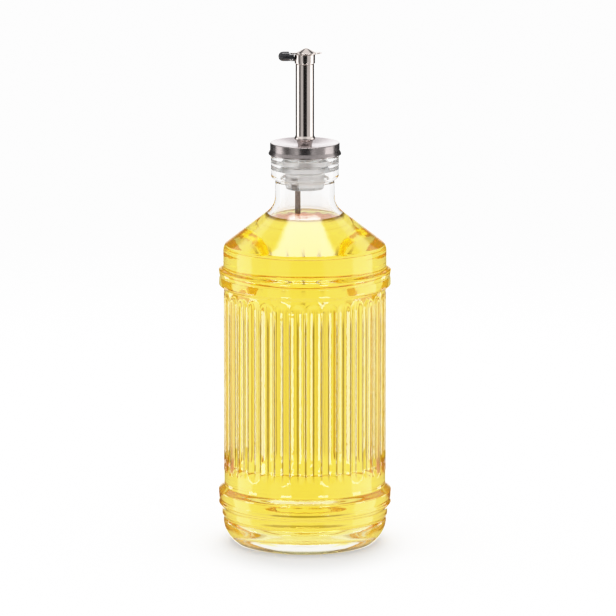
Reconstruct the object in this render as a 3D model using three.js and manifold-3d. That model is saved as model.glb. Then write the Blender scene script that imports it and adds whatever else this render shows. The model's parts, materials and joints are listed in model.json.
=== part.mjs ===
// Table oil bottle of fluted pressed glass, with a stainless steel pourer in its neck.
// Millimetres, +Z up. The bottle stands on Z = 0 with its axis on Z, and is seen from -Y.
import * as THREE from 'three';
import { mergeVertices } from 'three/addons/utils/BufferGeometryUtils.js';
import Module from 'manifold-3d';

// Driving dimensions

// Clearance between pieces that touch, and how far a cutter reaches past a face
const GAP = 0.3;
const CUT_PAST = 1;

// Glass bottle: outside, from the foot up
const FOOT = { inner: 25.5, outer: 32.3, puntRise: 2.4, swell: 37.9, swellAt: 4.6 };
const FOOT_BAND = { radius: 38.0, top: 10.5 };
const NOTCH = { radius: 37.5, height: 12.6 };
const LOWER_BEAD = { radius: 38.6, height: 14.0 };
const LOWER_RING = { crest: 40.15, bottom: 16.2, top: 27.4, ease: 2.8, waist: 39.8, waistAt: 20.4 };
const WALL_RADIUS = 37.65;
const UPPER_RING = { crest: 39.95, bottom: 119.9, top: 130.5, ease: 2.2, waist: 39.65, waistAt: 125.8 };
const BAND = { radius: 37.95, top: 137.3 };
const SHOULDER = { outer: 36.4, foot: 141.1, inner: 17.6, head: 155.6 };
const NECK = { radius: 13.9, bottom: 162.4, top: 171.0 };
const FINISH = { radius: 15.75, bottom: 172.8, lipFrom: 181.4, lipRadius: 13.9, mouth: 183.6 };

// Glass bottle: inside
const FLOOR = { rise: 7.4, edge: 28.5, height: 5.8, filletTop: 12.5 };
const CAVITY = { radius: 34.3, shoulderWall: 2.6, cornerDrop: 3.0, cornerRun: 2.5, throatRun: 5.5 };
const BORE = { radius: 11.35, bottom: 162.0, flare: 0.7 };

// Flutes in the glass wall: hollow channels with rounded ends
const FLUTES = { count: 32, width: 7.0, depth: 1.0, bottom: 33.8, top: 118.7, endStretch: 1.3 };
const FLUTE_TURN = THREE.MathUtils.degToRad(0.6);

// Oil, up to the start of the neck
const OIL_LEVEL = 153.0;

// Stopper of clear soft plastic, ribbed where it grips the bore
const STOPPER = { bottom: 166.5, tip: 8.7, chamfer: 0.6, body: 9.3, bodyTop: 173.9 };
const STOPPER_FLANGE = { radius: 15.0, thick: 1.5 };
const RIBS = { count: 3, radius: 11.0, root: 10.0, first: 174.6, pitch: 3.1, crest: 1.3, flank: 0.7 };

// Dished steel cap over the mouth
const CAP = { radius: 16.1, sheet: 0.6, dish: 1.7, dishRadius: 13.9 };
const CAP_RIM = { top: 188.0, round: 0.7, drop: 0.8 };
const CAP_BEAD = { radius: 16.85, bottom: 182.5, height: 0.5, flareTop: 184.5 };

// Pouring spout, swaged at both ends
const SPOUT = { radius: 4.3, bore: 3.45, bottom: 191.2, top: 224.6 };
const SPOUT_BEAD = { radius: 4.65, foot: 3.85, bottom: 188.9, top: 190.7, swell: 0.4 };
const SHANK = { radius: 3.1, bore: 2.4, bottom: 176.0 };
const SWAGE = { radius: 3.9, top: 228.8 };

// Air tube from the stopper down to the oil, and the passages through the stopper
const AIR_TUBE = { x: -3.3, radius: 1.3, bore: 0.8, bottom: OIL_LEVEL + 0.4, top: 172.0 };
const AIR_LINK = { x: -2.4, radius: 0.9 };
const POUR_PASSAGE = { x: 1.2, radius: 1.8 };

// Sleeve at the spout's tip, with the lug that carries the flap
const SLEEVE = { radius: 4.75, bore: 4.2, bottom: 224.9, top: 229.1 };
const PIVOT = { x: -6.2, z: 227.0, pin: 0.45, hole: 0.75, pinLength: 4.6 };
const LUG = { radius: 1.1, thick: 1.8 };

// Flap: a steel lid with a tab, and a black thumb lever
const LID = { x: 0.6, brim: 4.8, bottom: 229.4, apex: 231.9, waist: 2.4, waistAt: 230.3, sheet: 0.5 };
const LID_TAB = { reach: 7.8, width: 4.2, tip: 2.0, root: 4.1 };
const LID_STRAP = { reach: -6.7, width: 3.4 };
const LEVER = { left: -12.2, right: -5.0, bottom: 225.8, top: 230.3, wide: 5.2 };
const LEVER_STEP = { height: 229.1, from: -7.0, to: -7.4 };
const FORK = { gap: 2.4, roof: 228.45, back: -7.7 };

// Smoothness of round pieces
const BOTTLE_SIDES = 64;
const CAVITY_SIDES = 40;
const STOPPER_SIDES = 28;
const CAP_SIDES = 32;
const SPOUT_SIDES = 20;
const SMALL_SIDES = 12;
const PLATE_CURVE_STEPS = 6;
const CURVE_STEPS = 3;
const GLASS_CURVE_STEPS = 2;
const SHEET_CURVE_STEPS = 2;
const CUTTER_SIDES = 24;
const CUTTER_END_STEPS = 5;

const wasm = await Module();
wasm.setup();

// Geometry helpers

// Turns a height-along-Y geometry so that its height runs along +Z.
function upright(geometry) {
  return geometry.rotateX(Math.PI / 2);
}

// A profile of radius and height, turned round Z.
function turned(path, sides, steps = CURVE_STEPS, start = 0) {
  return upright(new THREE.LatheGeometry(path.getPoints(steps), sides, start));
}

// A side outline in X and Z, made thick along Y about the XZ plane.
function plate(shape, thick) {
  const options = { depth: thick, bevelEnabled: false, curveSegments: PLATE_CURVE_STEPS };
  return upright(new THREE.ExtrudeGeometry(shape, options)).translate(0, thick / 2, 0);
}

// A round bar along Z from one height to another.
function upBar(radius, bottom, top, x = 0) {
  const bar = upright(new THREE.CylinderGeometry(radius, radius, top - bottom, SMALL_SIDES));
  return bar.translate(x, 0, (bottom + top) / 2);
}

// A round bar along Y through the flap's pivot.
function crossBar(radius, length) {
  const bar = new THREE.CylinderGeometry(radius, radius, length, SMALL_SIDES);
  return bar.translate(PIVOT.x, 0, PIVOT.z);
}

// A closed geometry as a solid for joining and cutting.
function solid(geometry) {
  const bare = geometry.clone();
  bare.deleteAttribute('normal');
  bare.deleteAttribute('uv');
  const merged = mergeVertices(bare);
  const index = merged.index.array;
  const triangles = [];
  for (let i = 0; i < index.length; i += 3) {
    const [a, b, c] = [index[i], index[i + 1], index[i + 2]];
    if (a !== b && b !== c && c !== a) triangles.push(a, b, c);
  }
  return new wasm.Manifold(new wasm.Mesh({
    numProp: 3,
    vertProperties: new Float32Array(merged.attributes.position.array),
    triVerts: new Uint32Array(triangles),
  }));
}

// A solid as a geometry again, with flat facets.
function geometryOf(body) {
  const mesh = body.getMesh();
  const geometry = new THREE.BufferGeometry();
  geometry.setAttribute('position', new THREE.BufferAttribute(new Float32Array(mesh.vertProperties), 3));
  geometry.setIndex(new THREE.BufferAttribute(new Uint32Array(mesh.triVerts), 1));
  geometry.computeVertexNormals();
  return geometry;
}

function piece(name, body, finish) {
  const mesh = new THREE.Mesh(geometryOf(body), new THREE.MeshStandardMaterial(finish));
  mesh.name = name;
  return mesh;
}

// Finishes seen in the photograph
const CLEAR_GLASS = { color: 0xeef3f0, roughness: 0.05, metalness: 0, transparent: true, opacity: 0.35 };
const YELLOW_OIL = { color: 0xf0d83c, roughness: 0.1, metalness: 0, transparent: true, opacity: 0.8 };
const SATIN_STEEL = { color: 0xb9b3ad, roughness: 0.3, metalness: 1 };
const CLEAR_PLASTIC = { color: 0xe8e6e2, roughness: 0.45, metalness: 0 };
const BLACK_PLASTIC = { color: 0x17181a, roughness: 0.25, metalness: 0 };

// Bottle

// A raised ring round the wall, with both flanks eased and a shallow waist.
function raisedRing(path, ring, below, above) {
  path.lineTo(below, ring.bottom);
  path.quadraticCurveTo(ring.crest, ring.bottom, ring.crest, ring.bottom + ring.ease);
  path.lineTo(ring.waist, ring.waistAt);
  path.lineTo(ring.crest, ring.top - ring.ease);
  path.quadraticCurveTo(ring.crest, ring.top, above, ring.top);
}

// How much radius the straight shoulder loses for each millimetre of height.
const SHOULDER_SLOPE = (SHOULDER.outer - SHOULDER.inner) / (SHOULDER.head - SHOULDER.foot);

// Height at which the shoulder's line, carried on, meets a radius.
function shoulderHeight(radius) {
  return SHOULDER.head + (SHOULDER.inner - radius) / SHOULDER_SLOPE;
}

function bottleOutside() {
  const path = new THREE.Path();
  path.moveTo(0, FOOT.puntRise);
  path.lineTo(FOOT.inner, 0);
  path.lineTo(FOOT.outer, 0);
  path.quadraticCurveTo(FOOT.swell, FOOT.swellAt, FOOT_BAND.radius, FOOT_BAND.top);
  path.lineTo(NOTCH.radius, NOTCH.height);
  path.lineTo(LOWER_BEAD.radius, LOWER_BEAD.height);
  raisedRing(path, LOWER_RING, LOWER_BEAD.radius, WALL_RADIUS);
  raisedRing(path, UPPER_RING, WALL_RADIUS, BAND.radius);
  path.lineTo(BAND.radius, BAND.top);
  path.quadraticCurveTo(BAND.radius, shoulderHeight(BAND.radius), SHOULDER.outer, SHOULDER.foot);
  path.lineTo(SHOULDER.inner, SHOULDER.head);
  path.quadraticCurveTo(NECK.radius, shoulderHeight(NECK.radius), NECK.radius, NECK.bottom);
  path.lineTo(NECK.radius, NECK.top);
  path.quadraticCurveTo(FINISH.radius, NECK.top, FINISH.radius, FINISH.bottom);
  path.lineTo(FINISH.radius, FINISH.lipFrom);
  path.quadraticCurveTo(FINISH.radius, FINISH.mouth, FINISH.lipRadius, FINISH.mouth);
  path.lineTo(0, FINISH.mouth);
  return turned(path, BOTTLE_SIDES, GLASS_CURVE_STEPS, FLUTE_TURN);
}

// The bottle's inside from its floor to the start of the bore, shrunk by inset.
function insideOutline(inset) {
  const wall = CAVITY.radius - inset;
  const bore = BORE.radius - inset;
  const drop = (CAVITY.shoulderWall + inset) * Math.hypot(1, 1 / SHOULDER_SLOPE);
  const corner = shoulderHeight(wall) - drop;
  const throat = shoulderHeight(bore) - drop;
  const path = new THREE.Path();
  path.moveTo(0, FLOOR.rise + inset);
  path.lineTo(FLOOR.edge, FLOOR.height + inset);
  path.quadraticCurveTo(wall, FLOOR.height + inset, wall, FLOOR.filletTop);
  path.lineTo(wall, corner - CAVITY.cornerDrop);
  path.quadraticCurveTo(wall, corner, wall - CAVITY.cornerRun, corner + CAVITY.cornerRun / SHOULDER_SLOPE);
  path.lineTo(bore + CAVITY.throatRun, throat - CAVITY.throatRun / SHOULDER_SLOPE);
  path.quadraticCurveTo(bore, throat, bore, BORE.bottom);
  return path;
}

function bottleInside() {
  const path = insideOutline(0);
  path.lineTo(BORE.radius, FINISH.mouth - BORE.flare);
  path.lineTo(BORE.radius + BORE.flare, FINISH.mouth);
  path.lineTo(BORE.radius + BORE.flare, FINISH.mouth + CUT_PAST);
  path.lineTo(0, FINISH.mouth + CUT_PAST);
  return turned(path, CAVITY_SIDES);
}

// One cutter with a round section, which leaves a flute of the stated width and depth.
function fluteCutter() {
  const halfWidth = FLUTES.width / 2;
  const sagitta = WALL_RADIUS - Math.sqrt(WALL_RADIUS ** 2 - halfWidth ** 2);
  const rise = FLUTES.depth - sagitta;
  const radius = (halfWidth ** 2 + rise ** 2) / (2 * rise);
  const endLength = Math.sqrt(radius ** 2 - (radius - FLUTES.depth) ** 2) * FLUTES.endStretch;
  const straight = FLUTES.top - FLUTES.bottom - 2 * endLength;
  const length = straight / FLUTES.endStretch;
  const capsule = new THREE.CapsuleGeometry(radius, length, CUTTER_END_STEPS, CUTTER_SIDES);
  upright(capsule).scale(1, 1, FLUTES.endStretch);
  return capsule.translate(0, -(WALL_RADIUS - FLUTES.depth + radius), (FLUTES.bottom + FLUTES.top) / 2);
}

function bottle() {
  let glass = solid(bottleOutside()).subtract(solid(bottleInside()));
  const pitch = (2 * Math.PI) / FLUTES.count;
  for (let i = 0; i < FLUTES.count; i += 1) {
    const cutter = fluteCutter().rotateZ(FLUTE_TURN + (i + 0.5) * pitch);
    glass = glass.subtract(solid(cutter));
  }
  return piece('bottle', glass, CLEAR_GLASS);
}

// Oil

function oil() {
  const whole = insideOutline(GAP);
  whole.lineTo(0, BORE.bottom);
  const above = upBar(CAVITY.radius, OIL_LEVEL, BORE.bottom + CUT_PAST);
  return piece('oil', solid(turned(whole, CAVITY_SIDES)).subtract(solid(above)), YELLOW_OIL);
}

// Pourer

const STOPPER_SEAT = FINISH.mouth + GAP;
const STOPPER_TOP = STOPPER_SEAT + STOPPER_FLANGE.thick;
const CAP_FLOOR = CAP_RIM.top - CAP.dish;

function stopper() {
  const path = new THREE.Path();
  path.moveTo(0, STOPPER.bottom);
  path.lineTo(STOPPER.tip - STOPPER.chamfer, STOPPER.bottom);
  path.lineTo(STOPPER.tip, STOPPER.bottom + STOPPER.chamfer);
  path.lineTo(STOPPER.body, STOPPER.bodyTop);
  path.lineTo(RIBS.root, RIBS.first);
  for (let i = 0; i < RIBS.count; i += 1) {
    const foot = RIBS.first + i * RIBS.pitch;
    path.lineTo(RIBS.radius, foot + RIBS.flank);
    path.lineTo(RIBS.radius, foot + RIBS.flank + RIBS.crest);
    path.lineTo(RIBS.root, foot + 2 * RIBS.flank + RIBS.crest);
  }
  path.lineTo(RIBS.root, STOPPER_SEAT);
  path.lineTo(STOPPER_FLANGE.radius, STOPPER_SEAT);
  path.lineTo(STOPPER_FLANGE.radius, STOPPER_TOP);
  path.lineTo(0, STOPPER_TOP);
  const socketFloor = SHANK.bottom - GAP;
  const below = STOPPER.bottom - CUT_PAST;
  const holes = [
    upBar(SHANK.radius + GAP, socketFloor, STOPPER_TOP + CUT_PAST),
    upBar(POUR_PASSAGE.radius, below, socketFloor + CUT_PAST, POUR_PASSAGE.x),
    upBar(AIR_TUBE.radius + GAP, below, AIR_TUBE.top + GAP, AIR_TUBE.x),
    upBar(AIR_LINK.radius, AIR_TUBE.top, socketFloor + CUT_PAST, AIR_LINK.x),
  ];
  const plug = holes.reduce((rest, hole) => rest.subtract(solid(hole)), solid(turned(path, STOPPER_SIDES)));
  return piece('stopper', plug, CLEAR_PLASTIC);
}

function cap() {
  const inside = CAP.radius - CAP.sheet;
  const hole = SHANK.radius + GAP;
  const underside = CAP_FLOOR - CAP.sheet;
  const beadTop = CAP_BEAD.bottom + CAP_BEAD.height;
  const rimMiddle = CAP.radius - CAP_RIM.round;
  const rimInner = rimMiddle - CAP_RIM.round;
  const rimShoulder = CAP_RIM.top - CAP_RIM.drop;
  const path = new THREE.Path();
  path.moveTo(hole, underside);
  path.lineTo(inside, underside);
  path.lineTo(inside, CAP_BEAD.flareTop);
  path.quadraticCurveTo(inside, beadTop, CAP_BEAD.radius - CAP.sheet, CAP_BEAD.bottom);
  path.lineTo(CAP_BEAD.radius, CAP_BEAD.bottom);
  path.lineTo(CAP_BEAD.radius, beadTop);
  path.quadraticCurveTo(CAP.radius, beadTop, CAP.radius, CAP_BEAD.flareTop);
  path.lineTo(CAP.radius, rimShoulder);
  path.quadraticCurveTo(CAP.radius, CAP_RIM.top, rimMiddle, CAP_RIM.top);
  path.quadraticCurveTo(rimInner, CAP_RIM.top, rimInner, rimShoulder);
  path.lineTo(CAP.dishRadius, CAP_FLOOR);
  path.lineTo(hole, CAP_FLOOR);
  path.lineTo(hole, underside);
  return piece('cap', solid(turned(path, CAP_SIDES, SHEET_CURVE_STEPS)), SATIN_STEEL);
}

function spoutTube() {
  const path = new THREE.Path();
  path.moveTo(SHANK.bore, SHANK.bottom);
  path.lineTo(SHANK.radius, SHANK.bottom);
  path.lineTo(SHANK.radius, CAP_FLOOR + GAP);
  path.lineTo(SPOUT_BEAD.foot, SPOUT_BEAD.bottom);
  const swollen = SPOUT_BEAD.radius + SPOUT_BEAD.swell;
  path.quadraticCurveTo(swollen, SPOUT_BEAD.bottom, SPOUT_BEAD.radius, SPOUT_BEAD.top);
  path.lineTo(SPOUT.radius, SPOUT.bottom);
  path.lineTo(SPOUT.radius, SPOUT.top);
  path.lineTo(SWAGE.radius, SPOUT.top);
  path.lineTo(SWAGE.radius, SWAGE.top);
  path.lineTo(SPOUT.bore, SWAGE.top);
  path.lineTo(SPOUT.bore, SPOUT.bottom);
  path.lineTo(SHANK.bore, SPOUT_BEAD.bottom);
  path.lineTo(SHANK.bore, SHANK.bottom);
  return piece('spout_tube', solid(turned(path, SPOUT_SIDES)), SATIN_STEEL);
}

// A plain tube along Z.
function pipe(radius, bore, bottom, top, sides) {
  const path = new THREE.Path();
  path.moveTo(bore, bottom);
  path.lineTo(radius, bottom);
  path.lineTo(radius, top);
  path.lineTo(bore, top);
  path.lineTo(bore, bottom);
  return turned(path, sides);
}

function airTube() {
  const tube = pipe(AIR_TUBE.radius, AIR_TUBE.bore, AIR_TUBE.bottom, AIR_TUBE.top, SMALL_SIDES);
  return piece('air_tube', solid(tube.translate(AIR_TUBE.x, 0, 0)), SATIN_STEEL);
}

function spoutSleeve() {
  const ring = pipe(SLEEVE.radius, SLEEVE.bore, SLEEVE.bottom, SLEEVE.top, SPOUT_SIDES);
  const root = -(SLEEVE.bore + SLEEVE.radius) / 2;
  const lug = new THREE.Shape();
  lug.moveTo(root, PIVOT.z + LUG.radius);
  lug.lineTo(PIVOT.x, PIVOT.z + LUG.radius);
  lug.absarc(PIVOT.x, PIVOT.z, LUG.radius, Math.PI / 2, Math.PI * 1.5, false);
  lug.lineTo(root, PIVOT.z - LUG.radius);
  const pinHole = crossBar(PIVOT.hole, LUG.thick + CUT_PAST);
  const sleeve = solid(ring).add(solid(plate(lug, LUG.thick))).subtract(solid(pinHole));
  return piece('spout_sleeve', sleeve, SATIN_STEEL);
}

function hingePin() {
  return piece('hinge_pin', solid(crossBar(PIVOT.pin, PIVOT.pinLength)), SATIN_STEEL);
}

// Flap

// A flat strip of the lid's sheet between two X places, narrowing to its tip.
function lidStrip(from, to, width, tip) {
  const shape = new THREE.Shape();
  shape.moveTo(from, -width / 2);
  shape.lineTo(to, -tip / 2);
  shape.lineTo(to, tip / 2);
  shape.lineTo(from, width / 2);
  const strip = new THREE.ExtrudeGeometry(shape, { depth: LID.sheet, bevelEnabled: false });
  return strip.translate(0, 0, LID.bottom);
}

function flapLid() {
  const path = new THREE.Path();
  path.moveTo(0, LID.apex - LID.sheet);
  path.quadraticCurveTo(LID.waist, LID.waistAt, LID.brim - LID.sheet, LID.bottom);
  path.lineTo(LID.brim, LID.bottom);
  path.lineTo(LID.brim, LID.bottom + LID.sheet);
  path.quadraticCurveTo(LID.waist + LID.sheet, LID.waistAt + LID.sheet, 0, LID.apex);
  const tab = lidStrip(LID.x + LID_TAB.root, LID_TAB.reach, LID_TAB.width, LID_TAB.tip);
  const strap = lidStrip(LID_STRAP.reach, LID.x - LID_TAB.root, LID_STRAP.width, LID_STRAP.width);
  const crown = turned(path, SPOUT_SIDES).translate(LID.x, 0, 0);
  const lid = solid(crown).add(solid(tab)).add(solid(strap));
  return piece('flap_lid', lid, SATIN_STEEL);
}

function flapLever() {
  const endRadius = (LEVER.top - LEVER.bottom) / 2;
  const endX = LEVER.left + endRadius;
  const hub = LEVER.right - PIVOT.x;
  const side = new THREE.Shape();
  side.moveTo(PIVOT.x, LEVER.bottom);
  side.absarc(PIVOT.x, PIVOT.z, hub, -Math.PI / 2, 0, false);
  side.lineTo(LEVER.right, LEVER_STEP.height);
  side.lineTo(LEVER_STEP.from, LEVER_STEP.height);
  side.lineTo(LEVER_STEP.to, LEVER.top);
  side.lineTo(endX, LEVER.top);
  side.absarc(endX, LEVER.bottom + endRadius, endRadius, Math.PI / 2, Math.PI * 1.5, false);
  const slotRight = LEVER.right + CUT_PAST;
  const slotBottom = LEVER.bottom - CUT_PAST;
  const slot = new THREE.BoxGeometry(slotRight - FORK.back, FORK.gap, FORK.roof - slotBottom);
  slot.translate((FORK.back + slotRight) / 2, 0, (FORK.roof + slotBottom) / 2);
  const pinHole = crossBar(PIVOT.hole, LEVER.wide + CUT_PAST);
  const lever = solid(plate(side, LEVER.wide)).subtract(solid(slot)).subtract(solid(pinHole));
  return piece('flap_lever', lever, BLACK_PLASTIC);
}

// Scene graph

const flap = new THREE.Group();
flap.name = 'flap';
flap.add(flapLid(), flapLever());

const pourer = new THREE.Group();
pourer.name = 'pourer';
pourer.add(stopper(), cap(), spoutTube(), airTube(), spoutSleeve(), hingePin(), flap);

const oilBottle = new THREE.Group();
oilBottle.name = 'oil_bottle';
oilBottle.add(bottle(), oil(), pourer);

export default oilBottle;
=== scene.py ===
"""Fluted glass table bottle of yellow oil with a steel pourer: fine shapes, finishes, studio and camera.

Sizes are millimetres up to the point where a mesh is made, and metres in every mesh.
"""
import json
import math

import bmesh
import bpy
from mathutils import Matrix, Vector


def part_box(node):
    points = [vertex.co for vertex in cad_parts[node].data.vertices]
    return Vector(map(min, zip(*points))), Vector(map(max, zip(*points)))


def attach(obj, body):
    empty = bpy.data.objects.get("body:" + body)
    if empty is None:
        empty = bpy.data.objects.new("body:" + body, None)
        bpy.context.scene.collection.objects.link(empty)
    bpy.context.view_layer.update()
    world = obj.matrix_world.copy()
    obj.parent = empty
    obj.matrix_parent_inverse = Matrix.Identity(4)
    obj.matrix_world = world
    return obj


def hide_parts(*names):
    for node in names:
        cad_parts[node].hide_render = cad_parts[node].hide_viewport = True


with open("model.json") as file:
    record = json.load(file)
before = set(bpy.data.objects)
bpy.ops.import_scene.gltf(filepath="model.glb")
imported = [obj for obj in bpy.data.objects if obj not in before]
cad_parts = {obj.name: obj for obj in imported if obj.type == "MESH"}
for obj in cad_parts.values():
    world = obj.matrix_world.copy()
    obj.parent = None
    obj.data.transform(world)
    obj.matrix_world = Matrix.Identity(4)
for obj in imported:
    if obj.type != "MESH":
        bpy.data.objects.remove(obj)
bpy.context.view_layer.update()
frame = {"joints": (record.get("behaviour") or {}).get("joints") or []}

MM = 0.001
FULL_TURN = 2 * math.pi


def box_mm(node):
    """Lowest and highest corner of a node of the frame, in mm."""
    low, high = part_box(node)
    return low / MM, high / MM


# Places that the frame gives

STOPPER_LOW, STOPPER_HIGH = box_mm("stopper")
CAP_LOW, CAP_HIGH = box_mm("cap")
TUBE_LOW, TUBE_HIGH = box_mm("spout_tube")
AIR_LOW, AIR_HIGH = box_mm("air_tube")
SLEEVE_LOW, SLEEVE_HIGH = box_mm("spout_sleeve")
PIN_LOW, PIN_HIGH = box_mm("hinge_pin")
LID_LOW, LID_HIGH = box_mm("flap_lid")
LEVER_LOW, LEVER_HIGH = box_mm("flap_lever")
OIL_LEVEL = box_mm("oil")[1].z
MOUTH = box_mm("bottle")[1].z
PIVOT = Vector(frame["joints"][0]["pos_m"]) / MM

# Glass, outside, from the foot up

FOOT_INNER = 25.5
FOOT_OUTER = 32.3
PUNT_RISE = 2.4
FOOT_SWELL = (37.9, 4.6)
FOOT_BAND = (38.0, 10.5)
NOTCH = (37.5, 12.6)
LOWER_BEAD = (38.6, 14.0)
LOWER_RING = {
    "crest": 40.15,
    "bottom": 16.2,
    "top": 27.4,
    "ease": 2.8,
    "root": 0.15,
    "waist": (39.88, 20.4),
}
WALL_RADIUS = 37.65
UPPER_RING = {
    "crest": 39.95,
    "bottom": 119.9,
    "top": 130.5,
    "ease": 2.2,
    "root": 0.25,
    "waist": (39.65, 125.8),
}
WAIST_REACH = 1.2
BAND = (37.95, 137.3)
SHOULDER_FOOT = (36.4, 141.1)
SHOULDER_HEAD = (17.6, 155.6)
NECK_RADIUS = 13.9
NECK_BOTTOM = 162.4
NECK_TOP = 171.0
FINISH_RADIUS = 15.75
FINISH_BOTTOM = 172.8
LIP_FROM = 181.4
LIP_RADIUS = 13.9

# Glass, inside

FLOOR_RISE = 7.4
FLOOR_EDGE = (28.5, 5.8)
FLOOR_FILLET_TOP = 12.5
CAVITY_RADIUS = 34.3
SHOULDER_WALL = 2.6
CORNER_DROP = 3.0
CORNER_RUN = 2.5
THROAT_RUN = 5.5
BORE_RADIUS = 11.35
BORE_BOTTOM = 162.0
BORE_FLARE = 0.7

# Flutes: hollow channels with rounded ends

FLUTE_COUNT = 32
FLUTE_WIDTH = 7.0
FLUTE_DEPTH = 1.0
FLUTE_BOTTOM = 33.8
FLUTE_TOP = 118.7
FLUTE_END_STRETCH = 1.3
FLUTE_TURN = math.radians(0.6)
FLUTE_ARRIS = 0.3
FLUTE_MARGIN = 1.0
FLUTE_END_ZONE = 7.0
ARRIS_START = (FLUTE_BOTTOM, FLUTE_BOTTOM + 6.0)
ARRIS_STOP = (FLUTE_TOP - 5.0, FLUTE_TOP - 12.0)
GLASS_WAVE = 0.2
WAVES_PER_METRE = 55.0
WAVE_OUTSIDE = 0.3
WAVE_EASE = 12.0
GLASS_COLUMNS = FLUTE_COUNT * 10

# Oil

WALL_REACH = 0.15
MENISCUS_RISE = 0.5
MENISCUS_WIDTH = 2.4
MENISCUS_BEND = 0.35 * MENISCUS_WIDTH
OIL_EDGE = OIL_LEVEL + MENISCUS_RISE
DRY_FROM = OIL_EDGE + 0.05
OIL_COLUMNS = 256

# Stopper

STOPPER_TIP = 8.7
STOPPER_TIP_EASE = 0.6
STOPPER_BODY = (9.3, 173.9)
RIB_ROOT = 10.0
RIB_RADIUS = BORE_RADIUS + 0.05
RIB_COUNT = 3
RIB_FIRST = 174.6
RIB_PITCH = 3.1
RIB_CREST = 2.1
RIB_FLANK = 0.4
RIB_EASE = 0.3
FLANGE_THICK = 1.5
FLANGE_EASE = 0.4
SOCKET_RADIUS = 3.25
SOCKET_PLAY = 0.2

# Cap

CAP_RADIUS = 16.1
CAP_SHEET = 0.6
CAP_DISH = 1.7
CAP_RIM_INNER = 14.7
CAP_RIM_DROP = 0.1
CAP_BOWL_BEND = (7.0, 0.35)
CAP_BEAD_HEIGHT = 0.5
CAP_FLARE_TOP = 184.5
CAP_HOLE = 3.25
CAP_EASE = {"inside": 0.5, "bead": 0.25, "flare": 1.2, "rim": 0.75, "rim_inside": 1.5, "bowl": 20.0}

# Pouring tube, swaged at both ends, and the tip

TUBE_RADIUS = 4.3
TUBE_BORE = 3.45
TUBE_FROM = 191.2
TUBE_TO = 224.6
TUBE_BEAD = {"foot": 3.85, "bottom": 188.9, "crest": 4.85, "crest_from": 189.5, "crest_to": 190.2}
TUBE_EASE = {"shank": 0.4, "bead_foot": 0.5, "bead": 0.35, "barrel": 0.6, "tip": 0.15}
SHANK_RADIUS = 3.1
SHANK_SHOWN = 0.3
SHANK_BORE = 2.4
SWAGE_RADIUS = 3.9
AIR_BORE = 0.8
SLEEVE_RADIUS = 4.75
SLEEVE_BORE = 4.2
LUG_RADIUS = 1.1
LUG_THICK = 1.8
PIN_HOLE = 0.75

# Flap

LID_X = 0.6
LID_BRIM = 4.8
LID_WAIST = (2.4, 230.3)
LID_SHEET = 0.5
LID_EDGE_UNDER = (0.1, 0.12)
LID_EDGE_OVER = (0.15, 0.02)
LID_TIP = (1.0, 0.2)
TAB_WIDTH = 4.2
TAB_TIP = 2.0
TAB_LEAN = 0.11
TAB_ROOT = 4.1
STRAP_WIDTH = 3.4
STRIP_EASE = 0.05
LEVER_STEP_HEIGHT = 229.1
LEVER_STEP_FROM = -7.0
LEVER_STEP_TO = -7.4
FORK_GAP = 2.4
FORK_ROOF = 228.45
FORK_BACK = -7.7
LEVER_PLUMP = 1.01
LEVER_CHEEK = 0.25

# Roundings of turned steel: a cut edge, an eased edge and a soft bend

CUT_EDGE = 0.1
EASED_EDGE = 0.2
SOFT_BEND = 0.8

# How finely round things are made

CURVE_ROWS = 8
CORNER_ROWS = 5
CORNER_SHARE = 0.45
ROUND_COLUMNS = 128
SMALL_COLUMNS = 48
ARC_STEPS = 16
TABLE_SIDES = 96
CUT_PAST = 1.0
WELD_DISTANCE = 0.002
SHARP = 40
LID_SHARP = 50
LEVER_SHARP = 35
BAR_EASE = 0.2


# Half sections


class Outline:
    """A half section drawn anticlockwise: points of radius and height in mm, with marks on some of them."""

    def __init__(self, radius, height):
        self.points = [(radius, height)]
        self.marks = {}

    def line(self, radius, height, rows=1):
        """A straight stretch, split into rows."""
        start_radius, start_height = self.points[-1]
        for row in range(1, rows + 1):
            share = row / rows
            self.points.append((
                start_radius + (radius - start_radius) * share,
                start_height + (height - start_height) * share,
            ))

    def curve(self, bend, radius, height, rows=CURVE_ROWS):
        """A curve that leaves towards the bend and arrives from it."""
        start = self.points[-1]
        for row in range(1, rows + 1):
            share = row / rows
            rest = 1 - share
            self.points.append(tuple(
                rest * rest * a + 2 * rest * share * b + share * share * c
                for a, b, c in zip(start, bend, (radius, height))
            ))

    def mark(self, name, first, value=1.0):
        """Sets a mark on the points from first up to the last one drawn so far."""
        values = self.marks.setdefault(name, {})
        for index in range(first, len(self.points)):
            values[index] = value

    def swell(self, name, first, low, high, ease, value=1.0):
        """Sets a mark from first on that grows from nothing at the heights low and high."""
        values = self.marks.setdefault(name, {})
        for index in range(first, len(self.points)):
            height = self.points[index][1]
            reach = min(height - low, high - height) / ease
            values[index] = value * min(max(reach, 0.0), 1.0)

    def here(self):
        """Number of the last point drawn."""
        return len(self.points) - 1


def rounded(corners, closed=True):
    """An outline with straight sides. Each corner is (radius, height, rounding), and 0 keeps it sharp."""
    count = len(corners)
    points = []
    for index, (radius, height, rounding) in enumerate(corners):
        here = Vector((radius, height))
        at_end = not closed and index in (0, count - 1)
        if rounding == 0 or at_end:
            points.append(here)
            continue
        before = Vector(corners[index - 1][:2]) - here
        after = Vector(corners[(index + 1) % count][:2]) - here
        half = before.angle(after) / 2
        reach = min(rounding / math.tan(half), CORNER_SHARE * before.length, CORNER_SHARE * after.length)
        start = here + before.normalized() * reach
        end = here + after.normalized() * reach
        for row in range(CORNER_ROWS + 1):
            share = row / CORNER_ROWS
            rest = 1 - share
            points.append(rest * rest * start + 2 * rest * share * here + share * share * end)
    if closed:
        points.append(points[0])
    outline = Outline(*points[0])
    outline.points = [tuple(point) for point in points]
    return outline


# Node trees


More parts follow.
